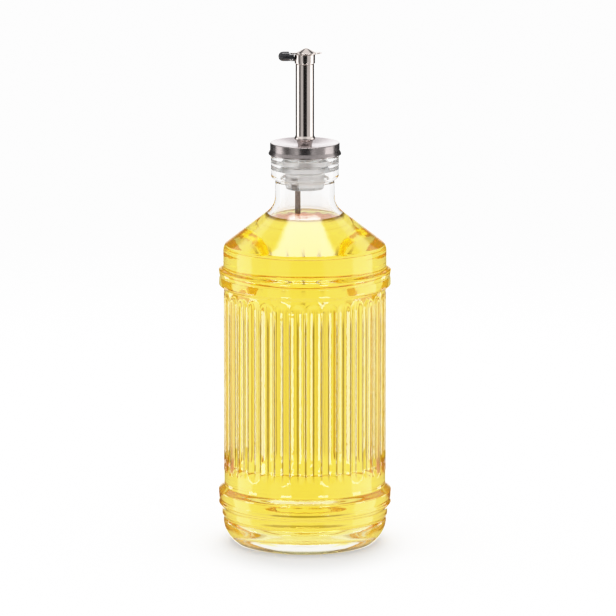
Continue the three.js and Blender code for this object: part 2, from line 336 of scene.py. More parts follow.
class Wiring:
    """Adds nodes to one tree, and links or sets their inputs as they are made."""

    def __init__(self, tree):
        self.tree = tree

    def node(self, kind, inputs=None, **settings):
        made = self.tree.nodes.new(kind)
        for name, value in settings.items():
            setattr(made, name, value)
        for key, value in (inputs or {}).items():
            self.put(made.inputs[key], value)
        return made

    def put(self, socket, value):
        if isinstance(value, bpy.types.NodeSocket):
            self.tree.links.new(value, socket)
        else:
            socket.default_value = value

    def math(self, operation, *values):
        made = self.node("ShaderNodeMath", operation=operation)
        for socket, value in zip(made.inputs, values):
            self.put(socket, value)
        return made.outputs[0]

    def times(self, first, second):
        return self.math("MULTIPLY", first, second)

    def plus(self, first, second):
        return self.math("ADD", first, second)

    def minus(self, first, second):
        return self.math("SUBTRACT", first, second)

    def vector_math(self, operation, *values):
        made = self.node("ShaderNodeVectorMath", dict(enumerate(values)), operation=operation)
        return made.outputs["Value" if operation == "LENGTH" else "Vector"]

    def split(self, vector):
        """The X, Y and Z of a vector."""
        made = self.node("ShaderNodeSeparateXYZ", {"Vector": vector}).outputs
        return made["X"], made["Y"], made["Z"]

    def vector(self, x, y, z):
        return self.node("ShaderNodeCombineXYZ", {"X": x, "Y": y, "Z": z}).outputs["Vector"]

    def from_axis(self, x, y):
        """Distance of a place from the Z axis."""
        square = self.plus(self.math("POWER", x, 2.0), self.math("POWER", y, 2.0))
        return self.math("SQRT", square)

    def noise(self, place, scale, detail=2.0, roughness=0.5):
        made = self.node("ShaderNodeTexNoise", {
            "Vector": place,
            "Scale": scale,
            "Detail": detail,
            "Roughness": roughness,
        })
        return made.outputs[0]

    def geometry(self, kind, mesh, inputs=None, **settings):
        """A node that takes a mesh and hands it on changed."""
        made = self.node(kind, {"Geometry": mesh, **(inputs or {})}, **settings)
        return made.outputs["Geometry"]

    def between(self, share, low, high):
        """A value that goes evenly from low to high as share goes from 0 to 1."""
        return self.plus(self.times(share, high - low), low)

    def step(self, value, low, high, out_low=0.0, out_high=1.0):
        """A smooth change from out_low to out_high while value goes from low to high."""
        made = self.node("ShaderNodeMapRange", {
            "Value": value,
            "From Min": low,
            "From Max": high,
            "To Min": out_low,
            "To Max": out_high,
        }, interpolation_type="SMOOTHSTEP")
        return made.outputs["Result"]

    def blend(self, share, first, second):
        """A colour that goes from first to second as share goes from 0 to 1."""
        made = self.node("ShaderNodeMix", data_type="RGBA")
        self.put(made.inputs["Factor"], share)
        self.put(made.inputs[6], first)
        self.put(made.inputs[7], second)
        return made.outputs[2]


WHOLE_FACE = 0.99


def turning_tree():
    """Geometry Nodes: turns an outline round Z, and carves flutes into the wall that is marked for them."""
    tree = bpy.data.node_groups.new("turned_outline", "GeometryNodeTree")
    wires = Wiring(tree)
    tree.interface.new_socket("Geometry", in_out="OUTPUT", socket_type="NodeSocketGeometry")
    wanted = (
        ("Outline", "NodeSocketGeometry"),
        ("Columns", "NodeSocketInt"),
        ("Turn", "NodeSocketFloat"),
        ("Centre", "NodeSocketVector"),
        ("Flute Count", "NodeSocketFloat"),
        ("Flute Radius", "NodeSocketFloat"),
        ("Flute Axis", "NodeSocketFloat"),
        ("Flute Bottom", "NodeSocketFloat"),
        ("Flute Top", "NodeSocketFloat"),
        ("Flute End Stretch", "NodeSocketFloat"),
        ("Flute Arris", "NodeSocketFloat"),
        ("Wave", "NodeSocketFloat"),
        ("Finish", "NodeSocketMaterial"),
        ("Second Finish", "NodeSocketMaterial"),
    )
    for name, kind in wanted:
        tree.interface.new_socket(name, in_out="INPUT", socket_type=kind)
    given = wires.node("NodeGroupInput").outputs

    def of_outline(kind, value, row):
        return wires.node("GeometryNodeSampleIndex", {
            "Geometry": given["Outline"],
            "Value": value,
            "Index": row,
        }, data_type=kind, domain="POINT").outputs["Value"]

    def mark_of(name, row):
        found = wires.node("GeometryNodeInputNamedAttribute", {"Name": name}, data_type="FLOAT")
        return of_outline("FLOAT", found.outputs["Attribute"], row)

    # A sheet of points, a column for each step round and a row for each point of the outline
    size = wires.node("GeometryNodeAttributeDomainSize", {"Geometry": given["Outline"]}, component="MESH")
    rows = size.outputs["Point Count"]
    sheet = wires.node("GeometryNodeMeshGrid", {
        "Vertices X": wires.plus(given["Columns"], 1),
        "Vertices Y": rows,
    }).outputs["Mesh"]
    index = wires.node("GeometryNodeInputIndex").outputs["Index"]
    row = wires.math("MODULO", index, rows)
    column = wires.math("FLOOR", wires.math("DIVIDE", index, rows))
    place = of_outline("FLOAT_VECTOR", wires.node("GeometryNodeInputPosition").outputs["Position"], row)
    radius, _, height = wires.split(place)
    from_turn = wires.times(wires.math("DIVIDE", column, given["Columns"]), FULL_TURN)
    angle = wires.plus(from_turn, given["Turn"])

    # The radius that a flute's round section, with its round ends, leaves of the wall
    pitch = wires.math("DIVIDE", FULL_TURN, given["Flute Count"])
    off_middle = wires.minus(wires.math("FLOORED_MODULO", from_turn, pitch), wires.times(pitch, 0.5))
    below = wires.minus(given["Flute Bottom"], height)
    above = wires.minus(height, given["Flute Top"])
    past_end = wires.math("MAXIMUM", wires.math("MAXIMUM", below, above), 0.0)
    past_end = wires.math("DIVIDE", past_end, given["Flute End Stretch"])
    aside = wires.times(given["Flute Axis"], wires.math("SINE", off_middle))
    chord = wires.math("POWER", given["Flute Radius"], 2.0)
    chord = wires.minus(chord, wires.math("POWER", past_end, 2.0))
    chord = wires.minus(chord, wires.times(aside, aside))
    chord = wires.math("SQRT", wires.math("MAXIMUM", chord, 0.0))
    ahead = wires.times(given["Flute Axis"], wires.math("COSINE", off_middle))
    carved = wires.math("SMOOTH_MIN", radius, wires.minus(ahead, chord), given["Flute Arris"])
    carving = wires.times(wires.minus(carved, radius), mark_of("fluted", row))
    radius = wires.plus(radius, carving)

    # The slow unevenness of pressed glass
    across = wires.math("SINE", angle)
    along = wires.times(wires.math("COSINE", angle), -1.0)

    def on_ring(reach):
        return wires.vector(
            wires.times(reach, across),
            wires.times(reach, along),
            height,
        )

    ripple = wires.noise(on_ring(radius), WAVES_PER_METRE, detail=1.0, roughness=0.4)
    ripple = wires.times(wires.minus(ripple, 0.5), given["Wave"])
    radius = wires.plus(radius, wires.times(ripple, mark_of("uneven", row)))

    # The turned shape, with its seam and poles closed
    placed = wires.vector_math("ADD", on_ring(radius), given["Centre"])
    mesh = wires.geometry("GeometryNodeStoreNamedAttribute", sheet, {
        "Name": "second",
        "Value": mark_of("second", row),
    }, data_type="FLOAT", domain="POINT")
    mesh = wires.geometry("GeometryNodeSetPosition", mesh, {"Position": placed})
    mesh = wires.geometry("GeometryNodeMergeByDistance", mesh, {"Distance": WELD_DISTANCE * MM})
    mesh = wires.geometry("GeometryNodeSetShadeSmooth", mesh)
    mesh = wires.geometry("GeometryNodeRealizeInstances", mesh)

    # The second finish covers the faces whose points are all marked for it
    mesh = wires.geometry("GeometryNodeSetMaterial", mesh, {"Material": given["Finish"]})
    second = wires.node("GeometryNodeInputNamedAttribute", {"Name": "second"}, data_type="FLOAT")
    mesh = wires.geometry("GeometryNodeSetMaterial", mesh, {
        "Selection": wires.math("GREATER_THAN", second.outputs["Attribute"], WHOLE_FACE),
        "Material": given["Second Finish"],
    })
    wires.node("NodeGroupOutput", {"Geometry": mesh})
    return tree


TURNING = turning_tree()


# Making pieces


def baked(host):
    """The evaluated mesh of a host object as a plain mesh. The host is removed."""
    bpy.context.view_layer.update()
    depsgraph = bpy.context.evaluated_depsgraph_get()
    mesh = bpy.data.meshes.new_from_object(host.evaluated_get(depsgraph), depsgraph=depsgraph)
    old = host.data
    bpy.data.objects.remove(host)
    bpy.data.meshes.remove(old)
    return mesh


def linked(name, data):
    """A new object in the scene."""
    made = bpy.data.objects.new(name, data)
    bpy.context.scene.collection.objects.link(made)
    return made


def settle(name, mesh, body, node):
    """A finished piece: it rides on its body and stands for its node."""
    mesh.name = name
    made = linked(name, mesh)
    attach(made, body)
    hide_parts(node)


def turned(outline, finish, columns=ROUND_COLUMNS, second=None, **sizes):
    """A plain mesh of an outline turned round Z by the turning tree. Sizes are in metres."""
    mesh = bpy.data.meshes.new("outline")
    points = [(radius * MM, 0.0, height * MM) for radius, height in outline.points]
    edges = [(index, index + 1) for index in range(len(points) - 1)]
    mesh.from_pydata(points, edges, [])
    for name in ("fluted", "uneven", "second"):
        marks = outline.marks.get(name, {})
        layer = mesh.attributes.new(name, "FLOAT", "POINT")
        layer.data.foreach_set("value", [marks.get(index, 0.0) for index in range(len(points))])
    host = linked("outline_host", mesh)
    modifier = host.modifiers.new("turning", "NODES")
    modifier.node_group = TURNING
    values = {
        "Columns": columns,
        "Turn": 0.0,
        "Centre": (0.0, 0.0, 0.0),
        "Flute Count": 1.0,
        "Flute End Stretch": 1.0,
        "Finish": finish,
        "Second Finish": second or finish,
        **sizes,
    }
    for socket in TURNING.interface.items_tree:
        if socket.name in values and socket.in_out == "INPUT":
            modifier[socket.identifier] = values[socket.name]
    mesh = baked(host)
    mesh.attributes.remove(mesh.attributes["second"])
    return mesh


def filled(name, work):
    """A mesh of what was built by hand. The workings are freed."""
    mesh = bpy.data.meshes.new(name)
    work.to_mesh(mesh)
    work.free()
    return mesh


def thickened(name, points, along, finish):
    """A flat outline of points, made thick along a vector. Both are in mm."""
    work = bmesh.new()
    face = work.faces.new([work.verts.new([part * MM for part in point]) for point in points])
    grown = bmesh.ops.extrude_face_region(work, geom=[face])
    moved = [item for item in grown["geom"] if isinstance(item, bmesh.types.BMVert)]
    bmesh.ops.translate(work, verts=moved, vec=[part * MM for part in along])
    bmesh.ops.recalc_face_normals(work, faces=work.faces)
    mesh = filled(name, work)
    mesh.materials.append(finish)
    return mesh


def slab(outline, thick, finish):
    """A side outline in X and Z, made thick along Y about the XZ plane."""
    return thickened("slab", [(x, -thick / 2, z) for x, z in outline], (0, thick, 0), finish)


def cross_bar(radius, length, finish, columns=SMALL_COLUMNS):
    """A round bar along Y through the flap's pivot, with eased ends."""
    ease = BAR_EASE * radius
    outline = rounded([
        (0, -length / 2, 0),
        (radius, -length / 2, ease),
        (radius, length / 2, ease),
        (0, length / 2, 0),
    ], closed=False)
    mesh = turned(outline, finish, columns)
    for vertex in mesh.vertices:
        x, y, z = vertex.co
        vertex.co = (x + PIVOT.x * MM, -z, y + PIVOT.z * MM)
    return mesh


def arc(middle_x, middle_z, radius, start, end):
    """Points of a round stretch in X and Z, angles in degrees from +X towards +Z."""
    points = []
    for step in range(ARC_STEPS + 1):
        angle = math.radians(start + (end - start) * step / ARC_STEPS)
        points.append((middle_x + radius * math.cos(angle), middle_z + radius * math.sin(angle)))
    return points


def joined(base, others, operation):
    """One mesh cut or joined with others."""
    host = linked("joined_host", base)
    tools = []
    for other in others:
        tool = linked("joined_tool", other)
        tools.append(tool)
        modifier = host.modifiers.new("join", "BOOLEAN")
        modifier.operation = operation
        modifier.solver = "EXACT"
        modifier.object = tool
    mesh = baked(host)
    for tool in tools:
        old = tool.data
        bpy.data.objects.remove(tool)
        bpy.data.meshes.remove(old)
    return mesh


def eased(mesh, width, rows):
    """A mesh whose sharp edges are rounded."""
    host = linked("eased_host", mesh)
    modifier = host.modifiers.new("ease", "BEVEL")
    modifier.width = width * MM
    modifier.segments = rows
    modifier.limit_method = "ANGLE"
    modifier.angle_limit = math.radians(SHARP)
    return baked(host)


def smoothed(mesh, sharper_than=SHARP):
    """Smooth shading that stops at sharp edges."""
    mesh.polygons.foreach_set("use_smooth", [True] * len(mesh.polygons))
    mesh.set_sharp_from_angle(angle=math.radians(sharper_than))
    return mesh


# Shared effects of the finishes

DRAWN_FORM = (1.0, 1.0, 0.015)
SMUDGE_EDGE = (0.35, 0.7)


def round_lines(wires, place, count):
    """Fine lines that run round Z, as spinning and polishing leave them."""
    x, y, z = wires.split(place)
    flat = wires.vector(
        wires.times(wires.from_axis(x, y), count),
        wires.times(z, count),
        wires.math("SINE", wires.math("ARCTAN2", y, x)),
    )
    return wires.noise(flat, scale=1.0)


def drawn_lines(wires, place, count):
    """Fine lines that run along Z, as drawing a tube leaves them."""
    return wires.noise(wires.vector_math("MULTIPLY", place, DRAWN_FORM), count)


def smudges(wires, place, count):
    """Soft uneven patches, as handling leaves on a clean surface."""
    return wires.step(wires.noise(place, count, detail=4.0, roughness=0.6), *SMUDGE_EDGE)


def pressed_skin(wires, place, count):
    """The faint orange-peel skin of pressed or moulded stuff."""
    return wires.noise(place, count, detail=1.0, roughness=0.3)


def arris_shade_lines(wires, place, core, edge):
    """Upright lines of painted shade where two flutes meet and along each flute, fading out towards the
    flutes' ends.
    """
    x, y, z = wires.split(place)
    turn = wires.math("ARCTAN2", x, wires.times(y, -1.0))
    from_arris = wires.math("PINGPONG", wires.minus(turn, FLUTE_TURN), math.pi / FLUTE_COUNT / 2)
    aside = wires.times(from_arris, WALL_RADIUS * MM)
    line = wires.step(aside, core, edge, 1.0, 0.0)
    start = wires.step(z, ARRIS_START[0] * MM, ARRIS_START[1] * MM)
    stop = wires.step(z, ARRIS_STOP[0] * MM, ARRIS_STOP[1] * MM)
    return wires.times(line, wires.times(start, stop))


def effect_group(name, inputs, result, pattern):
    """A shader node group. Inputs are names with their defaults, and pattern makes the result of them."""
    tree = bpy.data.node_groups.new(name, "ShaderNodeTree")
    tree.interface.new_socket("Vector", in_out="INPUT", socket_type="NodeSocketVector")
    for label, value in inputs.items():
        socket = tree.interface.new_socket(label, in_out="INPUT", socket_type="NodeSocketFloat")
        socket.default_value = value
    tree.interface.new_socket(result, in_out="OUTPUT", socket_type="NodeSocketFloat")
    wires = Wiring(tree)
    given = wires.node("NodeGroupInput").outputs
    made = pattern(wires, given["Vector"], *(given[label] for label in inputs))
    wires.node("NodeGroupOutput", {result: made})
    return tree


ARRIS_SIZES = {"Core": 0.2 * MM, "Edge": 0.6 * MM}
ROUND_LINES = effect_group("round_lines", {"Lines per metre": 6000.0}, "Mask", round_lines)
DRAWN_LINES = effect_group("drawn_lines", {"Lines per metre": 5000.0}, "Mask", drawn_lines)
SMUDGES = effect_group("smudges", {"Patches per metre": 120.0}, "Mask", smudges)
PRESSED_SKIN = effect_group("pressed_skin", {"Dimples per metre": 250.0}, "Height", pressed_skin)
ARRIS_SHADE_LINES = effect_group("arris_shade_lines", ARRIS_SIZES, "Mask", arris_shade_lines)


# Finishes


def plain_finish(name):
    """A new material with its wiring and its Principled shader."""
    material = bpy.data.materials.new(name)
    material.use_nodes = True
    return material, Wiring(material.node_tree), material.node_tree.nodes["Principled BSDF"]


def marked_finish(name):
    """A plain finish, and the object's own coordinates for its marks."""
    material, wires, shader = plain_finish(name)
    return material, wires, shader, wires.node("ShaderNodeTexCoord").outputs["Object"]


def effect(wires, group, coordinates, **values):
    """The result of a shared effect at the object's own coordinates."""
    inputs = {name.replace("_", " "): value for name, value in values.items()}
    placed = wires.node("ShaderNodeGroup", {"Vector": coordinates, **inputs}, node_tree=group)
    return placed.outputs[0]


def dress(wires, shader, inputs):
    """Links or sets several inputs of a shader."""
    for name, value in inputs.items():
        wires.put(shader.inputs[name], value)


def relief(wires, height, depth):
    """The normal of a relief with a depth in mm."""
    made = wires.node("ShaderNodeBump", {"Height": height, "Strength": 1.0, "Distance": depth * MM})
    return made.outputs["Normal"]


# Clear stuff: index of refraction, colour, and painted shade where the glass is darker
GLASS_INDEX = 1.52
OIL_INDEX = 1.47
PLASTIC_INDEX = 1.4
PLASTIC_CLEAR = 0.82
OIL_TINT = (0.990, 0.885, 0.05, 1.0)
OIL_DENSITY = 40.0
OIL_BODY_COLOUR = (1.0, 1.0, 1.0, 1.0)
OIL_SKIN_COLOUR = (0.6, 1.0, 0.9, 1.0)
GLASS_COLOUR = (0.985, 0.98, 0.975, 1.0)
# Painted shade of the arris lines and of the foot's lower edge
ARRIS_SHADE_COLOUR = (0.17, 0.145, 0.02, 1.0)
FOOT_EDGE_SHADE = 2.8
# Painted shade of the band just under the oil's edge
RIM_SHADE_COLOUR = (0.12, 0.07, 0.01, 1.0)
RIM_DEPTH = 1.4
RIM_FULL = RIM_DEPTH / 3

# Steel and plastic: colour and roughness of a clean place and of a worn one
STEEL_COLOUR = (0.77, 0.69, 0.65)
# Painted dark reflection: a darker colour of the same steel for the air pipe, which mirrors the dark front
AIR_PIPE_SHADE_COLOUR = (0.17, 0.115, 0.085)
SMUDGED_SHARE = 0.93
STEEL_ROUGHNESS = 0.07
LINES_ROUGHNESS = 0.06
SMUDGES_ROUGHNESS = 0.03
CAP_TOP_COLOURS = ((0.52, 0.465, 0.475, 1.0), (0.44, 0.395, 0.405, 1.0))
# Painted shade: the skirt's colours are darker than the top's
CAP_SKIRT_SHADE_COLOURS = ((0.40, 0.36, 0.355, 1.0), (0.32, 0.285, 0.28, 1.0))
CAP_SKIRT_EDGE = 0.3
CAP_LINE_WEAR = 0.7
CAP_SMUDGE_WEAR = 0.3
CAP_ROUGHNESS = (0.22, 0.32)
MILKY_COLOURS = ((0.99, 0.97, 0.955, 1.0), (0.96, 0.935, 0.92, 1.0))
MILKY_ROUGHNESS = (0.3, 0.38)
BLACK_COLOURS = ((0.010, 0.010, 0.012, 1.0), (0.022, 0.022, 0.025, 1.0))
BLACK_ROUGHNESS = (0.16, 0.28)

# Depth of the relief in mm
GLASS_RELIEF = 0.05
STEEL_RELIEF = 0.002
CAP_RELIEF = 0.003
MILKY_RELIEF = 0.02
BLACK_RELIEF = 0.015


def arris_shade_mask(wires, coordinates):
    """Mask of painted shade on the flutes' arrises and the foot's lower edge, which throw the light aside
    and look darker.
    """
    lines = effect(wires, ARRIS_SHADE_LINES, coordinates, **ARRIS_SIZES)
    x, y, z = wires.split(coordinates)
    outer = wires.step(wires.from_axis(x, y), (FOOT_OUTER - FOOT_EDGE_SHADE) * MM, FOOT_OUTER * MM)
    low = wires.step(z, FOOT_EDGE_SHADE / 2 * MM, FOOT_EDGE_SHADE * MM, 1.0, 0.0)
    return wires.math("MAXIMUM", lines, wires.times(outer, low))


def rim_shade_mask(wires, coordinates):
    """Mask of painted shade on the strip just under the oil's edge, where the meniscus turns the light down.
    """
    height = wires.split(coordinates)[2]
    return wires.step(height, (OIL_EDGE - RIM_DEPTH) * MM, (OIL_EDGE - RIM_FULL) * MM)


def glass(name, index, mask_of, shade):
    """Clear pressed glass, with painted shade where its mask is. Index is that of the glass against what
    touches it.
    """
    material, wires, shader, coordinates = marked_finish(name)
    skin = effect(wires, PRESSED_SKIN, coordinates, Dimples_per_metre=180.0)
    dress(wires, shader, {
        "Base Color": wires.blend(mask_of(wires, coordinates), GLASS_COLOUR, shade),
        "Roughness": 0.0,
        "IOR": index,
        "Transmission Weight": 1.0,
        "Normal": relief(wires, skin, GLASS_RELIEF),
    })
    return material


def oil(name, index, colour):
    """Golden oil. Index is that of the oil against what touches it, and colour tints its skin alone."""
    material, wires, shader = plain_finish(name)
    dress(wires, shader, {
        "Base Color": colour,
        "Roughness": 0.0,
        "IOR": index,
        "Transmission Weight": 1.0,
    })
    inside = wires.node("ShaderNodeVolumeAbsorption", {"Color": OIL_TINT, "Density": OIL_DENSITY})
    output = material.node_tree.nodes["Material Output"]
    wires.put(output.inputs["Volume"], inside.outputs["Volume"])
    return material


def polished_steel(name, colour):
    """Drawn and polished tube steel, with faint lines along it and soft smudges."""
    material, wires, shader, coordinates = marked_finish(name)
    lines = effect(wires, DRAWN_LINES, coordinates, Lines_per_metre=5000.0)
    marks = effect(wires, SMUDGES, coordinates, Patches_per_metre=160.0)
    smudged = [SMUDGED_SHARE * part for part in colour]
    rough = wires.plus(wires.times(lines, LINES_ROUGHNESS), wires.times(marks, SMUDGES_ROUGHNESS))
    dress(wires, shader, {
        "Base Color": wires.blend(marks, (*colour, 1.0), (*smudged, 1.0)),
        "Metallic": 1.0,
        "Roughness": wires.plus(rough, STEEL_ROUGHNESS),
        "Normal": relief(wires, lines, STEEL_RELIEF),
    })
    return material


def spun_steel():
    """Satin cap steel, painted darker on its skirt as shade, with the lines of spinning round its middle."""
    material, wires, shader, coordinates = marked_finish("spun_steel")
    lines = effect(wires, ROUND_LINES, coordinates, Lines_per_metre=6000.0)
    marks = effect(wires, SMUDGES, coordinates, Patches_per_metre=110.0)
    worn = wires.plus(wires.times(lines, CAP_LINE_WEAR), wires.times(marks, CAP_SMUDGE_WEAR))
    x, y, _ = wires.split(coordinates)
    skirt = wires.step(wires.from_axis(x, y), CAP_RIM_INNER * MM, (CAP_RADIUS - CAP_SKIRT_EDGE) * MM)
    around = wires.node("ShaderNodeTangent", direction_type="RADIAL", axis="Z")
    dress(wires, shader, {
        "Base Color": wires.blend(
            skirt,
            wires.blend(worn, *CAP_TOP_COLOURS),
            wires.blend(worn, *CAP_SKIRT_SHADE_COLOURS),
        ),
        "Metallic": 1.0,
        "Roughness": wires.between(worn, *CAP_ROUGHNESS),
        "Anisotropic": 0.6,
        "Anisotropic Rotation": 0.25,
        "Tangent": around.outputs["Tangent"],
        "Normal": relief(wires, lines, CAP_RELIEF),
    })
    return material


def milky_plastic():
    """Soft clear plastic of the stopper, cloudy all through."""
    material, wires, shader, coordinates = marked_finish("milky_plastic")
    clouds = effect(wires, SMUDGES, coordinates, Patches_per_metre=140.0)
    skin = effect(wires, PRESSED_SKIN, coordinates, Dimples_per_metre=900.0)
    dress(wires, shader, {
        "Base Color": wires.blend(clouds, *MILKY_COLOURS),
        "IOR": PLASTIC_INDEX,
        "Transmission Weight": PLASTIC_CLEAR,
        "Roughness": wires.between(clouds, *MILKY_ROUGHNESS),
        "Normal": relief(wires, skin, MILKY_RELIEF),
    })
    return material


def black_plastic():
    """Glossy black moulded plastic of the lever."""
    material, wires, shader, coordinates = marked_finish("black_plastic")
    marks = effect(wires, SMUDGES, coordinates, Patches_per_metre=400.0)
    skin = effect(wires, PRESSED_SKIN, coordinates, Dimples_per_metre=1800.0)
    dress(wires, shader, {
        "Base Color": wires.blend(marks, *BLACK_COLOURS),
        "Roughness": wires.between(marks, *BLACK_ROUGHNESS),
        "Normal": relief(wires, skin, BLACK_RELIEF),
    })
    return material


CLEAR_GLASS = glass("clear_glass", GLASS_INDEX, arris_shade_mask, ARRIS_SHADE_COLOUR)
WETTED_GLASS = glass("wetted_glass", GLASS_INDEX / OIL_INDEX, rim_shade_mask, RIM_SHADE_COLOUR)
OIL_BODY = oil("oil_body", 1.0, OIL_BODY_COLOUR)
OIL_TOP = oil("oil_top", OIL_INDEX, OIL_SKIN_COLOUR)
POLISHED_STEEL = polished_steel("polished_steel", STEEL_COLOUR)
# The air pipe's steel, darkened as a painted reflection
SHADED_STEEL = polished_steel("shaded_steel", AIR_PIPE_SHADE_COLOUR)
SPUN_STEEL = spun_steel()
MILKY_PLASTIC = milky_plastic()
BLACK_PLASTIC = black_plastic()


# Bottle and oil

SHOULDER_SLOPE = (SHOULDER_FOOT[0] - SHOULDER_HEAD[0]) / (SHOULDER_HEAD[1] - SHOULDER_FOOT[1])


def shoulder_height(radius):
    """Height at which the shoulder's line, carried on, meets a radius."""
    return SHOULDER_HEAD[1] + (SHOULDER_HEAD[0] - radius) / SHOULDER_SLOPE


def raised_ring(outline, ring, below, above):
    """A raised ring round the wall, with both flanks eased and a shallow waist."""
    crest, bottom, top, ease = ring["crest"], ring["bottom"], ring["top"], ring["ease"]
    waist, waist_height = ring["waist"]
    root = ring["root"] * ease
    outline.curve((below, bottom + root), (below + crest) / 2, bottom + ease / 2)
    outline.curve((crest, bottom + ease - root), crest, bottom + ease)
    outline.curve((crest, waist_height - WAIST_REACH), waist, waist_height)
    outline.curve((crest, waist_height + WAIST_REACH), crest, top - ease)
    outline.curve((crest, top - ease + root), (crest + above) / 2, top - ease / 2)
    outline.curve((above, top - root), above, top)


def glass_outside():
    """The bottle's outside, from the middle of its foot up to its lip."""
    outline = Outline(0, PUNT_RISE)
    outline.curve((FOOT_INNER / 2, PUNT_RISE), FOOT_INNER, 0, rows=10)
    outline.line(FOOT_OUTER, 0, rows=3)
    outline.curve(FOOT_SWELL, *FOOT_BAND, rows=12)
    outline.line(*NOTCH, rows=2)
    outline.curve((LOWER_BEAD[0], NOTCH[1]), *LOWER_BEAD)
    outline.line(LOWER_BEAD[0], LOWER_RING["bottom"], rows=3)
    raised_ring(outline, LOWER_RING, LOWER_BEAD[0], WALL_RADIUS)
    wall_start = outline.here()
    outline.line(WALL_RADIUS, FLUTE_BOTTOM - FLUTE_MARGIN, rows=3)
    outline.line(WALL_RADIUS, FLUTE_BOTTOM + FLUTE_END_ZONE, rows=16)
    outline.line(WALL_RADIUS, FLUTE_TOP - FLUTE_END_ZONE, rows=10)
    outline.line(WALL_RADIUS, FLUTE_TOP + FLUTE_MARGIN, rows=16)
    outline.line(WALL_RADIUS, UPPER_RING["bottom"])
    outline.mark("fluted", wall_start)
    outline.swell("uneven", wall_start, LOWER_RING["top"], UPPER_RING["bottom"], WAVE_EASE, WAVE_OUTSIDE)
    raised_ring(outline, UPPER_RING, WALL_RADIUS, BAND[0])
    outline.line(*BAND, rows=4)
    outline.curve((BAND[0], shoulder_height(BAND[0])), *SHOULDER_FOOT)
    outline.line(*SHOULDER_HEAD, rows=6)
    outline.curve((NECK_RADIUS, shoulder_height(NECK_RADIUS)), NECK_RADIUS, NECK_BOTTOM, rows=10)
    outline.line(NECK_RADIUS, NECK_TOP, rows=4)
    outline.curve((FINISH_RADIUS, NECK_TOP), FINISH_RADIUS, FINISH_BOTTOM)
    outline.line(FINISH_RADIUS, LIP_FROM, rows=4)
    outline.curve((FINISH_RADIUS, MOUTH), LIP_RADIUS, MOUTH)
    return outline


def cavity_places(inset):
    """Radii of wall and bore, and the heights where their lines meet the shoulder's inner face."""
    wall = CAVITY_RADIUS - inset
    bore = BORE_RADIUS - inset
    drop = (SHOULDER_WALL + inset) * math.hypot(1, 1 / SHOULDER_SLOPE)
    return wall, bore, shoulder_height(wall) - drop, shoulder_height(bore) - drop


def cavity(inset):
    """The bottle's inside from the middle of its floor to the start of the bore, shrunk by inset."""
    wall, bore, corner, throat = cavity_places(inset)
    outline = Outline(0, FLOOR_RISE + inset)
    outline.line(FLOOR_EDGE[0], FLOOR_EDGE[1] + inset, rows=5)
    outline.curve((wall, FLOOR_EDGE[1] + inset), wall, FLOOR_FILLET_TOP)
    outline.line(wall, corner - CORNER_DROP, rows=14)
    outline.curve((wall, corner), wall - CORNER_RUN, corner + CORNER_RUN / SHOULDER_SLOPE)
    outline.line(bore + THROAT_RUN, throat - THROAT_RUN / SHOULDER_SLOPE, rows=6)
    outline.curve((bore, throat), bore, BORE_BOTTOM, rows=14)
    return outline


def cut_at(points, level):
    """The points of a rising outline up to a level, ending exactly on it."""
    kept = [points[0]]
    for before, after in zip(points, points[1:]):
        if after[1] > level and before[1] <= level and before[0] > BORE_RADIUS:
            share = (level - before[1]) / (after[1] - before[1])
            kept.append((before[0] + (after[0] - before[0]) * share, level))
            return kept
        kept.append(after)
    return kept


def bottle_glass():
    """The whole bottle: outside up, over the lip, and down the inside, wetted below the oil's edge."""
    outline = glass_outside()
    outline.line(BORE_RADIUS + BORE_FLARE, MOUTH, rows=2)
    outline.line(BORE_RADIUS, MOUTH - BORE_FLARE, rows=2)
    wetted = cut_at(cavity(0).points, OIL_EDGE)
    dry = [point for point in cavity(0).points if point[1] > DRY_FROM]
    inside_start = outline.here()
    outline.line(BORE_RADIUS, BORE_BOTTOM, rows=6)
    outline.points.extend(reversed(dry[:-1]))
    first_wet = outline.here() + 1
    outline.points.extend(reversed(wetted))
    outline.mark("second", first_wet)
    outline.swell("uneven", inside_start, FLOOR_FILLET_TOP, BAND[1] - CORNER_DROP, WAVE_EASE)
    half_width = FLUTE_WIDTH / 2
    rise = FLUTE_DEPTH - (WALL_RADIUS - math.sqrt(WALL_RADIUS ** 2 - half_width ** 2))
    radius = (half_width ** 2 + rise ** 2) / (2 * rise)
    end_length = math.sqrt(radius ** 2 - (radius - FLUTE_DEPTH) ** 2) * FLUTE_END_STRETCH
    return turned(
        outline, CLEAR_GLASS, GLASS_COLUMNS, WETTED_GLASS,
        **{
            "Turn": FLUTE_TURN,
            "Flute Count": FLUTE_COUNT,
            "Flute Radius": radius * MM,
            "Flute Axis": (WALL_RADIUS - FLUTE_DEPTH + radius) * MM,
            "Flute Bottom": (FLUTE_BOTTOM + end_length) * MM,
            "Flute Top": (FLUTE_TOP - end_length) * MM,
            "Flute End Stretch": FLUTE_END_STRETCH,
            "Flute Arris": FLUTE_ARRIS * MM,
            "Wave": GLASS_WAVE * MM,
        },
    )


def oil_filling():
    """The oil: it reaches just into the glass, and its top climbs a little at the edge."""
    outline = Outline(0, 0)
    outline.points = cut_at(cavity(-WALL_REACH).points, OIL_EDGE)
    top_start = outline.here()
    edge = outline.points[-1][0]
    outline.curve((edge - MENISCUS_BEND, OIL_LEVEL), edge - MENISCUS_WIDTH, OIL_LEVEL, rows=10)
    outline.line(0, OIL_LEVEL, rows=6)
    outline.mark("second", top_start)
    return turned(outline, OIL_BODY, OIL_COLUMNS, OIL_TOP)


# Pourer


